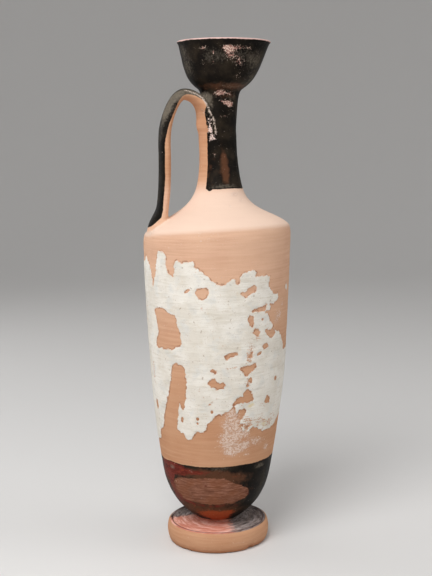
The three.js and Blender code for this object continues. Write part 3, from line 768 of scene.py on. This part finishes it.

# %% Worn and stained places, and places of painted sheen: degrees round, millimetres up, half sizes in mm, strength, maybe a slant
WEAR_AND_SHEEN = {
    "flaked": [
        (-136, 288.5, 6, 3, 0.8), (-137, 281, 8, 6, 0.4), (-122, 285.6, 0.9, 3, 1.2),
        (-122, 280.5, 0.9, 3, 0.8), (-106, 288.3, 5, 3, 0.9), (-96, 288.4, 8, 3.2, 0.85),
        (-76, 288.6, 9, 2.6, 0.75), (-101, 285.3, 6, 3.4, 0.6), (-87, 283, 14, 5, 0.62),
        (-82, 279.5, 10, 3.6, 0.5), (-85, 276, 8, 4, 0.3), (-80, 273, 5, 3, 0.6),
        (-88, 268, 22, 2.4, 0.4), (-107, 265.3, 6, 3, 0.6), (-82, 264.4, 7, 3, 0.7),
        (-118, 264, 6, 3, 0.6), (-99, 260, 6, 3, 0.75, -30), (-73, 258.4, 5.4, 4, 1.1, -25),
        (-92, 251.6, 7, 1.8, 0.75), (-71, 253.6, 3, 2, 0.6), (-150, 262, 5, 6, 0.5),
        (-122, 230.1, 2.4, 2.4, 0.9), (-82, 234.2, 1, 4, 0.65), (-100, 227.4, 2, 2, 0.6),
        (-91, 229.5, 1.5, 4, 0.5), (-43, 31, 5, 5, 0.35), (-62, 50.4, 9, 1.6, 0.35),
        (60, 283, 14, 7, 0.5), (120, 276, 12, 8, 0.5), (10, 262, 9, 6, 0.5), (-160, 42, 4, 3, 0.7)],
    "crust": [
        (-132, 249, 3.2, 5, 0.8), (-129, 243.6, 3.4, 5, 1), (-121, 239.5, 3.2, 3, 0.9),
        (-134, 239, 2, 3, 0.7), (-73, 258.4, 4, 3, 0.5), (-104, 288.2, 5, 2.4, 0.5),
        (-150, 254, 4, 4, 0.5)],
    # Lime film, and a painted grey sheen of the gloss: the blots at the mouth's sides, down the neck's right
    # edge, along the band's top and on the arch stand in for reflections.
    "lime_film_and_sheen": [
        (-172, 280, 12, 14, 0.6), (-176, 289, 8, 6, 0.4), (-52, 280, 12, 14, 0.5), (-40, 272, 8, 5, 0.5),
        (-88, 284, 26, 9, 0.5), (-128, 284, 12, 9, 0.35), (-156, 263, 8, 4, 0.7),
        (-143, 259, 7, 4, 0.7, -35), (-134, 254, 4, 5, 0.5, -35), (-88, 268.5, 26, 4, 0.45),
        (-70, 262, 10, 7, 0.45), (-58, 240, 3, 40, 0.2), (100, 280, 40, 12, 0.4),
        (-107, 52.2, 16, 1.6, 0.75), (-60, 50.5, 8, 3.2, 0.85), (-161, 50.4, 4.5, 3, 1),
        (-136, 50, 3, 2.4, 0.6), (-168, 262, 14, 5, 0.8), (-98, 211.6, 16, 2.4, 0.8),
        (-174, 255, 10, 8, 0.6), (180, 236, 12, 30, 0.3)],
    "rusty": [
        (-166, 38, 5, 8, 1), (-159, 32.5, 4, 3, 0.9), (-100, 43.4, 6, 1.2, 0.6), (-71, 34, 2, 3, 0.6),
        (-165, 52.6, 16, 3, 0.9), (-178, 46, 11, 12, 1), (-165, 45, 6, 8, 0.8), (-156, 49, 12, 6, 0.9),
        (-146, 49.6, 9, 5, 1), (-130, 50, 12, 3.4, 0.8), (-104, 49.6, 26, 4, 0.4),
        (-141, 44, 6, 0.8, 0.7, -4), (-121, 41.7, 1.6, 1.4, 1), (-147, 29.5, 8, 2, 0.9),
        (-132, 28, 12, 2.4, 0.8), (-106, 28, 10, 2.6, 0.8), (-84, 27, 7, 3, 0.6), (-75, 36, 3, 5, 0.7),
        (-96, 18.6, 10, 2, 0.9), (-161, 30, 9, 8, 0.5), (-175, 30, 12, 12, 0.5), (150, 40, 14, 12, 0.5)],
    "ember": [
        (-146, 50.2, 2.4, 1.8, 1), (-160, 44, 2.4, 1.6, 0.7), (-117, 20.5, 20, 8.5, 1.2),
        (-104, 17, 9, 5, 0.8), (-142, 27, 8, 4, 0.5), (-90, 22.5, 7, 4, 0.6), (-91, 222, 3, 10, 0.3),
        (-90, 47, 16, 3.4, 0.5)],
    "brown": [
        (-91, 220, 4.4, 13, 1.2), (-94, 231, 3, 10, 0.6), (-168, 225, 20, 34, 0.45), (-122, 49, 26, 7, 1),
        (-95, 46, 24, 6, 0.9), (-160, 36, 26, 20, 0.9), (-115, 24, 34, 9, 1), (-88, 268, 34, 4, 0.9),
        (-88, 263, 20, 3, 0.5), (-100, 36, 32, 12, 0.7)],
    "salmon": [
        (-190, 12.3, 8, 9, 0.7), (-172, 12.3, 12, 9, 1), (-150, 12.4, 12, 9, 1), (-128, 12.5, 12, 9, 1),
        (-106, 12.3, 11, 9, 0.75), (-92, 12.4, 8, 9, 0.35), (-118, 17.5, 10, 4, 0.4)],
    "lilac": [
        (-86, 12.4, 12, 9, 0.8), (-66, 12.3, 14, 9, 1), (-42, 12.3, 16, 9, 0.9), (-14, 12.4, 16, 9, 0.7),
        (-215, 12.3, 16, 9, 0.6), (140, 12.4, 16, 9, 0.4), (20, 12.4, 20, 9, 0.5)],
    "residue": [
        (-98.5, 71, 9, 11, 1), (-94, 63, 8, 6, 0.9), (-101, 80, 6, 6, 1), (-84.2, 65.2, 6, 5, 1),
        (-79, 60, 4, 3, 0.9), (-93, 80, 6, 8, 1.2), (-97, 86, 7, 5, 1.1), (-86, 74, 8, 5, 0.9),
        (-54.3, 61.4, 4.6, 4, 1), (-70, 68, 10, 4, 0.5), (-54, 137, 6, 9, 0.75), (-46, 144, 5, 5, 0.6),
        (-66, 143.6, 3.4, 2.6, 0.9), (-60, 122, 10, 3, 0.35), (-172, 176, 8, 6, 0.4),
        (-120, 182, 50, 7, 0.3), (-112, 167, 4, 4, 0.4), (-172, 187, 6, 4, 0.8),
        (-39, 153.4, 4, 3.4, 0.9), (-73, 207, 6, 3, 0.9, 20), (-64, 203, 4, 4, 0.7),
        (-90, 200, 1.4, 1.4, 1.2), (-49, 138.5, 3, 2.4, 0.8, 20), (-84, 72, 10, 6, 0.5),
        (-62, 66, 14, 5, 0.35), (-100, 66, 14, 14, 0.4), (-74, 66, 10, 8, 0.35), (-87, 6, 8, 1.6, 0.6),
        (-79, 5.2, 1.4, 1.2, 1.2), (-145, 8.6, 3, 1.6, 0.6)]}
THIN = [
    (-82.3, 120.9, 5.5, 8, 1), (-83.1, 116, 5, 5, 0.8), (-83.5, 103.5, 4, 6, 0.85),
    (-96, 112.4, 9, 1, 1, 12), (-124.3, 99.4, 2.2, 3.6, 0.75), (-115, 92, 9, 1.3, 0.9, 32),
    (-107, 95.2, 4, 0.9, 0.8, 8), (-121, 95.2, 3, 1.2, 0.7, 30), (-121.4, 145.5, 3.4, 3.4, 0.75),
    (-104.5, 125.2, 3.2, 1.2, 0.85), (-177, 107, 3.4, 15, 0.9), (-190, 140, 12, 34, 0.5),
    (-72, 79.5, 14, 8, 0.9), (-55, 76.8, 12, 6, 0.85), (-83.5, 79, 7, 6, 0.95), (-88, 89, 5, 4, 0.6),
    (-66, 88, 10, 6, 0.55), (-48, 83, 8, 6, 0.6), (-118, 84, 14, 5, 0.4), (-64, 134, 6, 5, 0.6),
    (-75, 128, 9, 6, 0.55), (-82.5, 143, 5, 3, 0.4), (-120, 116, 40, 50, 0.12), (100, 110, 40, 40, 0.4)]
YELLOW = [
    (-79.5, 89.3, 6, 2.2, 1, 12), (-62, 76.6, 6, 5, 0.7), (-55, 99, 5, 3, 0.4)]
ARCH_RIDGE = [
    (-177, 240, 33), (-176, 250, 32.6), (-175, 257.7, 30.8), (-173, 262.3, 28.3), (-171, 264.9, 25.6),
    (-168, 265.7, 22.7), (-164, 265.3, 19.4), (-156, 263.6, 16.5)]
# Along the root's outer ridge the gloss is partly rubbed off and partly a painted highlight.
WORN_AND_LIT_RIDGE = [
    (-168, 265.7, 22.7), (-156, 263.6, 16.5), (-148, 261.3, 14.6), (-139, 258, 13.7), (-128, 252.9, 12.7),
    (-118, 248.8, 12.3), (-113, 244.7, 12.1), (-113, 240, 10.9)]
GROOVE_RADIUS = FOOT_TOP_RADIUS - 2.2


def near_route(route, points):
    """Distance in mm to straight stretches between places given by degrees, height and radius."""
    turn, up, out = (np.array(column, float) for column in zip(*route))
    corners = np.stack([out * np.cos(np.radians(turn)), out * np.sin(np.radians(turn)), up], 1)
    nearest = np.full(len(points), np.inf)
    for a, b in zip(corners, corners[1:]):
        along = np.clip((points - a) @ (b - a) / ((b - a) @ (b - a)), 0, 1)
        nearest = np.minimum(nearest, np.linalg.norm(points - a - along[:, None] * (b - a), axis=1))
    return nearest


# The arch's top is partly rubbed and partly given a painted grey sheen, strongest at the top where the light
# falls from above.
arch_rub_and_sheen = 1 - smooth(0.8, 5, near_route(ARCH_RIDGE, straight))
arch_rub_and_sheen *= 0.25 + 0.5 * smooth(RUB_AND_SHEEN_LOW_Z, RUB_AND_SHEEN_HIGH_Z, height_at)
arch_rub_and_sheen *= smooth(0.6, 2.2, strap_out - strap_gloss_edge)
on_foot = outside & (height_at < STEM_Z + 0.4) & (height_at > FOOT_HEIGHT - 0.6)
below_stem = outside * smooth(STEM_Z + 2.6, STEM_Z + 0.8, height_at)
kept_on = {"flaked": ~hollowed, "crust": ~hollowed, "lime_film_and_sheen": 1, "salmon": below_stem, "lilac": on_foot}
masks = {name: blots(places) * kept_on.get(name, outside) for name, places in WEAR_AND_SHEEN.items()}
masks["lime_film_and_sheen"] = np.clip(masks["lime_film_and_sheen"] + arch_rub_and_sheen * on_strap, 0, 1)
masks.update({
    "glaze": glaze, "worn_patch": worn, "slip_left": slip_left,
    "ridge": (1 - smooth(0.2, 1.3, near_route(WORN_AND_LIT_RIDGE, straight))) * on_strap,
    "rim": smooth(RIM_Z - 2.4, RIM_Z - 1.2, height_at),
    "groove": np.where(on_foot, radius_at - GROOVE_RADIUS, 9),
    # The shoulder's pale clay, partly paler clay and partly a painted highlight where the light from above
    # falls.
    "pale": outside * smooth(EDGE_Z - 2.6, EDGE_Z + 0.6, height_at) * (1 - smooth(206, 216, height_at))})


def keep_masks(thing, values):
    for name, numbers in values.items():
        layer = thing.data.attributes.new(name, "FLOAT", "POINT")
        layer.data.foreach_set("value", np.asarray(numbers, np.float32))


keep_masks(vessel, masks)
slip_at = (np.tile(shell_places[:, 0], 2), np.tile(shell_places[:, 1], 2), BODY_RADIUS)
keep_masks(slip, {"thin": blots(THIN, slip_at), "yellow": blots(YELLOW, slip_at),
                  "edge": np.tile(shell_places[:, 2], 2)})
print("masks:", {name: [round(float(v.min()), 2), round(float(v.max()), 2)] for name, v in masks.items()})

# %% [markdown]
# ## Hand-made and fired
# The wheel leaves faint ridges and a slow wobble, the foot and rim have small chips, and in the kiln the
# flask settles: its axis leans and bows, the neck stands aside, and the shoulder and mouth tilt. The lip
# flares a little at its edge. The same rule moves clay, strap and slip, so they stay on each other.

# %% Wheel marks, chips and the kiln's lean
CHIPS = [
    (-68.6, 1.1, 3.4, 3, 1), (-60, 0.6, 3, 1.6, 0.4), (-96, 0.4, 3.5, 1.2, 0.25), (20, 11, 4, 2, 0.4),
    (-150, 0.5, 3, 1.4, 0.25), (100, 293, 4, 1.6, 0.4), (-30, 293.6, 2.5, 1.2, 0.25), (150, 1, 5, 2, 0.5)]
CHIP_DEPTH = 2.6
RIM_FLARE = 0.8
JOINT_SOFTNESS, SHOULDER_SOFTNESS = 2.4, 3.2


def wheel_marks(spots):
    """How far the clay stands out, in mm: ridges that run round the wall, and a slow wobble."""
    rings = np.array([noise.noise((p[0] / 60, p[1] / 60, p[2] / 2.6)) for p in spots])
    broad = np.array([noise.noise((p[0] / 70, p[1] / 70, p[2] / 11 + 30)) for p in spots])
    return 0.10 * rings + 0.16 * broad


LEAN_AZIMUTH, BODY_OFFSET, BODY_LEAN, BODY_BOW = -19, -0.6, 0.021, 0.5
NECK_OFFSET, NECK_LEAN, NECK_LEAN_START, MOUTH_TILT = 1.3, 0.08, 32.3, -0.018
SHOULDER_TILT, SHOULDER_HIGH_AZIMUTH, WALL_MIDDLE_Z = 0.083, -76, BOWL_Z + 63


def settled(points):
    """Points of the straight flask, moved to where they are on the fired one."""
    x, y, z = points.T
    lean, high = math.radians(LEAN_AZIMUTH), math.radians(SHOULDER_HIGH_AZIMUTH)
    bow_z = (BOWL_Z + BODY_Z) / 2
    gone = (BODY_OFFSET * smooth(FOOT_HEIGHT, BOWL_Z, z) + BODY_LEAN * np.maximum(z - FOOT_HEIGHT, 0)
            + BODY_BOW * smooth(BOWL_Z, bow_z, z) * (1 - smooth(bow_z, BODY_Z, z))
            + NECK_OFFSET * smooth(EDGE_Z, NECK_ROOT_Z, z) * (1 - smooth(NECK_ROOT_Z, NECK_Z, z))
            + NECK_LEAN * np.maximum(z - NECK_ROOT_Z - NECK_LEAN_START, 0))
    along_lean = x * math.cos(lean) + y * math.sin(lean)
    along_high = x * math.cos(high) + y * math.sin(high)
    edge = smooth(WALL_MIDDLE_Z, EDGE_Z, z) * (1 - smooth(EDGE_Z, (NECK_ROOT_Z + NECK_Z) / 2, z))
    tilt = MOUTH_TILT * smooth(NECK_ROOT_Z, NECK_TOP_Z, z) * along_lean + SHOULDER_TILT * edge * along_high
    return np.stack([x + gone * math.cos(lean), y + gone * math.sin(lean), z + tilt], 1)


def put_points(thing, points):
    thing.data.vertices.foreach_set("co", (points * MM).ravel())
    thing.data.update()


def softened(thing, points, near, passes=14):
    """Draws points towards their neighbours, by how near they are to a joint."""
    pairs = np.array([e.vertices[:] for e in thing.data.edges])
    pairs = pairs[(near[pairs] > 0).any(1)]
    uses = np.bincount(pairs.ravel(), minlength=len(points))[:, None]
    for _ in range(passes):
        sums = np.zeros_like(points)
        np.add.at(sums, pairs[:, 0], points[pairs[:, 1]])
        np.add.at(sums, pairs[:, 1], points[pairs[:, 0]])
        points = points + 0.6 * near[:, None] * (sums / np.maximum(uses, 1) - points)
    return points


joint_edges = [e.vertices[:] for e in vessel.data.edges if on_strap[e.vertices[0]] != on_strap[e.vertices[1]]]
joint = straight[sorted(set(v for e in joint_edges for v in e))]
_, from_joint = nearest_in(joint, straight)
soft_reach = JOINT_SOFTNESS + SHOULDER_SOFTNESS * (height_at < NECK_ROOT_Z)
shaped = softened(vessel, straight, 1 - smooth(0.4, soft_reach, from_joint))
out_of_axis = np.column_stack([shaped[:, :2] / np.maximum(radius_at, 1)[:, None], 0 * radius_at])
wall_share = outside * smooth(0, 4, height_at) * (1 - smooth(RIM_Z - 3, RIM_Z, height_at))
wall_share *= smooth(1, 4, from_joint)
chipped = CHIP_DEPTH * outside * blots(CHIPS) * (0.6 + 0.6 * rough(straight, 1.5, 5))
relief = wheel_marks(straight) * wall_share - chipped
at_lip = smooth(RIM_Z - 2.4, RIM_Z - 0.5, height_at) * (radius_at > MOUTH_RADIUS - 2)
relief += RIM_FLARE * outside * at_lip
put_points(vessel, settled(shaped + out_of_axis * relief[:, None]))

slip_points = points_of(slip)
slip_marks = wheel_marks(np.tile(on_wall(shell_places[:, 0], shell_places[:, 1]), (2, 1)))
slip_out = np.column_stack([slip_points[:, :2] / np.hypot(*slip_points[:, :2].T)[:, None], 0 * slip_marks])
put_points(slip, settled(slip_points + slip_out * slip_marks[:, None]))
for thing in (vessel, slip):
    thing.data.shade_smooth()
sharp = slip.data.attributes.new("sharp_edge", "BOOLEAN", "EDGE")
sharp.data.foreach_set("value", [all(v % count in edge_points for v in e.vertices)
                                 and abs(e.vertices[0] - e.vertices[1]) != count for e in slip.data.edges])
print("settled; relief from", round(float(relief.min()), 2), "to", round(float(relief.max()), 2), "mm")

# %% [markdown]
# ## Fired clay and its coats
# One material holds the bare clay, the gloss over it, and what has worn through. The clay's colour is
# built from slow clouds, rings that follow the wheel, and fine grain, with painted light that makes it paler
# higher up and painted shade lower down and on the strap. The gloss is nearly black, brown and rusty where
# the kiln reached it, grey where lime has filmed it and grey with a painted sheen at the mouth's sides, the
# neck's right edge, the band's top and the arch, and pink where it has flaked off. A finish is a short list
# of coats, each with its share and its colour.

# %% Colours and patterns that all finishes share
def srgb(*levels):
    """The linear colour of three levels up to 255."""
    return tuple(((v / 255 + 0.055) / 1.055) ** 2.4 for v in levels) + (1,)


class Finish(Wire):
    """A material's tree, seen from the point that is being coloured, in millimetres."""

    def __init__(self, material):
        material.use_nodes = True
        super().__init__(material.node_tree, None)
        self.skin = material.node_tree.nodes["Principled BSDF"]
        self.place = self.node("ShaderNodeTexCoord", output="Object").vector("SCALE", scale=1 / MM)
        self.high = self.place.parts()[2]

    def mask(self, name):
        return self.node("ShaderNodeAttribute", {"attribute_name": name}, output="Fac")

    def stain(self, name, noise, strength, low, high, spread=1.0):
        """A mask that noise breaks up. A spread over 1 keeps its faint parts bare."""
        held = self.mask(name) * spread + (1 - spread)
        return (held + (noise - 0.5) * strength).step(low, high)

    def cloud(self, lump, detail=3.0, roughness=0.55, stretch=(1, 1, 1), shift=0.0):
        """Noise around 0.5 with lumps about that many mm across."""
        place = self.place.vector("MULTIPLY", stretch).vector("ADD", (shift, shift, shift))
        return self.node("ShaderNodeTexNoise", {}, {
            "Vector": place, "Scale": 1 / lump, "Detail": detail, "Roughness": roughness})

    def streaky(self, lump, detail=4, roughness=0.7, turns=8, shift=0.0):
        """Noise drawn out round the wheel, on walls and on flat turned faces alike."""
        flat = self.place.vector("MULTIPLY", (1, 1, 0))
        facing = flat.vector("NORMALIZE").vector("SCALE", scale=turns)
        place = facing.vector("ADD", self.place.vector("MULTIPLY", (0, 0, 1)))
        return self.node("ShaderNodeTexNoise", {"noise_dimensions": "4D"}, {
            "Vector": place, "W": flat.vector("LENGTH", output="Value") + shift, "Scale": 1 / lump,
            "Detail": detail, "Roughness": roughness})

    def mix(self, share, first, second):
        """From the first colour to the second. A colour is a wire, or three levels up to 255."""
        first, second = (srgb(*c) if isinstance(c, tuple) else c for c in (first, second))
        return self.node("ShaderNodeMix", {"data_type": "RGBA"}, {0: share, 6: first, 7: second}, output=2)

    def coated(self, colour, *coats):
        """Lays coats over a colour, one after another, each by its share."""
        for share, coat in coats:
            colour = self.mix(share, colour, coat)
        return colour

    def shine(self, colour, roughness, height, bump=1.0):
        """Joins the colour, the roughness and the fine relief in mm to the surface."""
        relief = self.node("ShaderNodeBump", {}, {"Height": height * MM, "Strength": bump, "Distance": 1.0})
        for name, wire in (("Base Color", colour), ("Roughness", roughness), ("Normal", relief)):
            self.tree.links.new(wire.socket, self.skin.inputs[name])


ROUND = (0.045, 0.045, 1.0)


def bare_clay(finish):
    """The clay's colour and its fine relief. Painted light makes it paler higher up and palest on the
    shoulder, where it is also paler clay, and painted shade makes it darker lower down and on the strap and
    neck.
    """
    clouds = finish.cloud(26, 4)
    rings = finish.cloud(1.3, 3, stretch=ROUND)
    grain = finish.cloud(0.55, 3, 0.7)
    # Painted light and shade: paler towards the shoulder, darker towards the foot, and darker on the strap
    # and on the neck's bare strip under it.
    upper = finish.high.step(80, 182) * (1 - finish.high.step(208, 222))
    colour = finish.coated(
        (196, 146, 112),
        (clouds.step(0.3, 0.7), (210, 164, 130)),
        (rings.step(0.35, 0.7) * 0.55, (222, 180, 148)),
        (grain.step(0.55, 0.8) * 0.35, (168, 112, 84)),
        ((1 - upper) * 0.42, (180, 128, 94)),
        (upper * 0.25, (240, 206, 188)),
        # The shoulder, partly paler clay and partly a painted highlight.
        (finish.mask("pale") * 0.75, (228, 204, 187)))
    return colour, rings * 0.16 + grain * 0.08


# %% The clay's own material
def weathered_clay_and_painted_light(finish, colour, residue, streaks, edge_noise):
    """The film, the scars where slip was lost with a thin dark line round them that is partly dirt and partly
    painted shadow, the lip's top painted paler as a highlight, and darker, browner clay in the lowest
    millimetres.
    """
    haze = finish.stain("residue", finish.cloud(2.2, 4, 0.7, shift=59), 1.6, 0.3, 1.1)
    scar = finish.mask("slip_left") + edge_noise
    broken = finish.cloud(2.5, 3, shift=19).step(0.42, 0.6)
    # Darker, browner clay in the lowest few millimetres of the foot.
    low_down = 1 - (finish.high + (streaks - 0.5) * 6).step(0.5, 4.5)
    return finish.coated(
        colour,
        (haze * 0.5, (202, 170, 152)),
        (residue * 0.85, (228, 208, 194)),
        # A thin dark line round the scars: partly dirt, partly painted shadow of the slip's edge.
        (scar.step(-0.9, -0.2) * (1 - scar.step(0.2, 0.8)) * broken * 0.6, (140, 88, 62)),
        # The lip's bare top, painted paler as a highlight where the light from above falls.
        (finish.mask("rim") * 0.9, (220, 186, 180)),
        (low_down * 0.5, (162, 100, 68)))


def fire_clay(material):
    finish = Finish(material)
    clay_colour, relief = bare_clay(finish)
    crumbs = finish.cloud(1.1, 4, 0.65, shift=40)
    specks = finish.cloud(0.7, 3, 0.7, shift=44)
    edge_noise = (finish.cloud(1.2, 3) - 0.5) * 0.7
    streaks = finish.streaky(0.9, shift=9)
    residue = specks * 0.45 + crumbs * 0.35 + streaks * 0.2 + finish.mask("residue") * 0.13
    residue = residue.step(0.6, 0.65)
    clay_colour = weathered_clay_and_painted_light(finish, clay_colour, residue, streaks, edge_noise)

    brown = finish.stain("brown", finish.cloud(3, 4, 0.6, shift=83), 1.4, 0.25, 1.0)
    rust = finish.stain("rusty", finish.cloud(2.4, 5, 0.7, shift=3), 2.2, 0.2, 0.9, 1.3)
    ember = finish.stain("ember", finish.cloud(1.6, 5, 0.7, shift=71), 2.0, 0.3, 1.0, 1.3)
    # Lime film, and the gloss's painted grey sheen where it reflects the lights.
    lime_and_sheen = finish.stain("lime_film_and_sheen", finish.cloud(1.3, 5, 0.75, shift=17), 1.8, 0.25, 1.1)
    lilac = finish.stain("lilac", finish.streaky(1.6, 5, shift=67), 3.0, 0.2, 1.3)
    lilac = lilac * finish.mask("lilac").step(0, 0.2)
    salmon = finish.stain("salmon", finish.streaky(1.6, 5, shift=61), 2.4, 0.1, 0.8)
    salmon = salmon * finish.mask("salmon").step(0, 0.2)
    # Streaks of painted highlight on the foot's top, over the salmon and the lilac.
    sheen = finish.streaky(1.5, 5, 0.75, 4, 101)
    colour = finish.coated(
        (18, 15, 12),
        (finish.cloud(9, 3).step(0.4, 0.7), (42, 35, 27)),
        (brown * 0.85, (92, 60, 42)),
        (rust * 0.85, finish.mix(streaks.step(0.4, 0.6), (98, 34, 26), (124, 50, 38))),
        (ember * 0.85, (160, 74, 40)),
        (lilac * 0.85, finish.mix(sheen.step(0.4, 0.65), (138, 120, 113), (206, 190, 186))),
        (salmon * 0.92, finish.mix(sheen.step(0.42, 0.58), (214, 134, 112), (240, 180, 162))),
        (salmon * sheen.step(0.55, 0.68) * 0.85, (250, 220, 208)),
        (lime_and_sheen * 0.55, (134, 124, 110)))

    patch = finish.mask("worn_patch") + edge_noise * 2 + (finish.streaky(2.4, 4, shift=89) - 0.5) * 4
    patch = patch.step(-0.2, 0.3) * (1 - ember * 0.4) * (1 - rust * 0.75)
    scratches = finish.streaky(0.6, 4, 0.75, 3, 93)
    worn_clay = finish.coated(
        (106, 66, 49),
        (scratches.step(0.4, 0.62), (152, 106, 86)),
        (finish.cloud(7, 3, shift=29).step(0.4, 0.65) * 0.5, (128, 78, 52)))
    rub = finish.mask("flaked")
    pink = (crumbs * 0.8 + specks * 0.2 + rub * 0.56).step(0.87, 0.96)
    cream = (specks + rub * 0.29 + crumbs * 0.2).step(0.85, 0.92)
    # The groove is too fine for the mesh: its dark line is painted shade in the groove, with a small dent in
    # the relief.
    groove = 1 - finish.maths("ABSOLUTE", finish.mask("groove")).step(0.15, 0.5)
    gloss = (finish.mask("glaze") + edge_noise).step(-0.12, 0.12)
    # Pale clay along the root's ridge: partly wear, partly a painted highlight.
    rubbed_and_lit = (finish.mask("ridge") * 0.8 + (crumbs - 0.5) * 1.6 + (specks - 0.5) * 2.4).step(0.5, 0.8)
    crust = (specks * 0.5 + crumbs * 0.5 + finish.mask("crust") * 0.26).step(0.66, 0.7)
    colour = finish.coated(
        colour,
        (patch, worn_clay),
        (pink * 0.75, (172, 122, 112)),
        (cream * 0.9, (224, 200, 182)),
        (groove * 0.7, (74, 26, 20)))
    colour = finish.coated(
        clay_colour,
        (gloss, colour),
        (rubbed_and_lit * 0.8, (210, 192, 178)),
        (crust, (232, 208, 198)))

    bare = pink.most(cream).most(rubbed_and_lit).most(crust)
    shiny = gloss * (1 - bare) * (1 - lime_and_sheen * 0.5) * (1 - patch * 0.6) * (1 - lilac * 0.3)
    roughness = 0.86 - shiny * (0.36 + (crumbs - 0.5) * 0.3)
    worn_relief = crust * 0.25 + residue * 0.06 - pink * gloss * 0.05 - groove * 0.2
    finish.shine(colour, roughness, relief * (1 - gloss * 0.6) + worn_relief)


fire_clay(clay)
clay.node_tree.nodes["Principled BSDF"].inputs["Specular IOR Level"].default_value = 0.06

# %% The white slip's material
def brush_slip(material):
    finish = Finish(material)
    clay_colour, _ = bare_clay(finish)
    streaks = finish.cloud(1.1, 3, stretch=(0.12, 0.12, 1.0), shift=23)
    clouds = finish.cloud(11, 4, shift=31)
    dull = finish.cloud(7, 4, shift=37).step(0.5, 0.7)
    stain = finish.cloud(5, 5, 0.7, shift=47).step(0.58, 0.75)
    yellow = finish.stain("yellow", finish.cloud(1.6, 4, 0.7, shift=97), 1.4, 0.3, 0.9)
    grains = finish.cloud(0.8, 4, 0.7, shift=13)
    pits = finish.cloud(1.9, 3, 0.6, shift=77).step(0.66, 0.71)
    wisps = finish.streaky(0.8, shift=57)
    worn_through = (grains * 0.4 + wisps * 0.6 + finish.mask("thin") * 0.17).step(0.635, 0.665)
    frayed = 1 - finish.stain("edge", finish.cloud(0.9, 4, 0.7, shift=51), 2.4, 0.1, 0.3)
    worn_through = worn_through.most(frayed)
    colour = finish.coated(
        (222, 215, 203),
        (clouds.step(0.35, 0.65), (234, 229, 220)),
        (dull * 0.5, (208, 208, 204)),
        (streaks.step(0.48, 0.72) * 0.4, (198, 188, 170)),
        (stain * 0.35, (212, 192, 156)),
        (yellow * 0.6, (214, 192, 132)),
        (grains.step(0.6, 0.68) * 0.55, (176, 150, 126)),
        (pits * 0.6, (158, 134, 112)),
        (worn_through * 0.9, clay_colour))
    relief = streaks * 0.18 + finish.cloud(0.7, 3) * 0.08 - worn_through * 0.08
    finish.shine(colour, 0.92 - worn_through * 0.03, relief)


chalk = bpy.data.materials.new("white_slip")
brush_slip(chalk)
slip.data.materials.append(chalk)

# %% [markdown]
# ## The studio
# A large soft light hangs high on the left and close to the mouth, so the shoulder is brightest and the
# light falls off towards the foot. A weaker one on the right draws a grey sheen down the black neck, and one
# behind lights the top of the foot. The floor is plain and pale.

# %% The lights and the floor
def soft_light(name, place, size, power, aim=(0, 0, 0.17)):
    light = bpy.data.lights.new(name, "AREA")
    light.shape, light.size, light.energy = "DISK", size, power
    lamp = bpy.data.objects.new(name, light)
    lamp.location = place
    lamp.rotation_euler = (Vector(aim) - Vector(place)).to_track_quat("-Z", "Y").to_euler()
    bpy.context.scene.collection.objects.link(lamp)


soft_light("key", (-0.4, -0.42, 0.77), 0.55, 6.7, (0, 0, 0.22))
soft_light("side", (0.8, -0.45, 0.6), 0.6, 2.0)
soft_light("back", (-0.5, 0.6, 0.5), 0.8, 1.6, (0, 0, 0.05))
bpy.context.scene.view_settings.view_transform = "Standard"
world = bpy.data.worlds.new("studio")
bpy.context.scene.world = world
world.use_nodes = True
air = world.node_tree.nodes["Background"]
air.inputs["Color"].default_value = (0.8, 0.8, 0.8, 1)
air.inputs["Strength"].default_value = 0.6

FLOOR_FLAT, FLOOR_CURVE, WALL_TOP, FLOOR_SIDES = 1.2, 1.0, 2.6, 64
rise_angles = np.radians(np.linspace(0, 90, 13))
cove = [(FLOOR_FLAT + FLOOR_CURVE * math.sin(a), FLOOR_CURVE * (1 - math.cos(a))) for a in rise_angles]
floor = spun("floor", [(r / MM, z / MM) for r, z in [(0, 0), *cove, (FLOOR_FLAT + FLOOR_CURVE, WALL_TOP)]],
             FLOOR_SIDES, None)
floor.data.shade_smooth()
floor_paint = bpy.data.materials.new("floor_paint")
floor_paint.use_nodes = True
floor_skin = floor_paint.node_tree.nodes["Principled BSDF"]
floor_skin.inputs["Base Color"].default_value = (0.7, 0.69, 0.68, 1)
floor_skin.inputs["Roughness"].default_value = 0.9
floor.data.materials.clear()
floor.data.materials.append(floor_paint)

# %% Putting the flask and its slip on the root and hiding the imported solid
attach(vessel, "root")
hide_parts("lekythos")
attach(slip, "root")
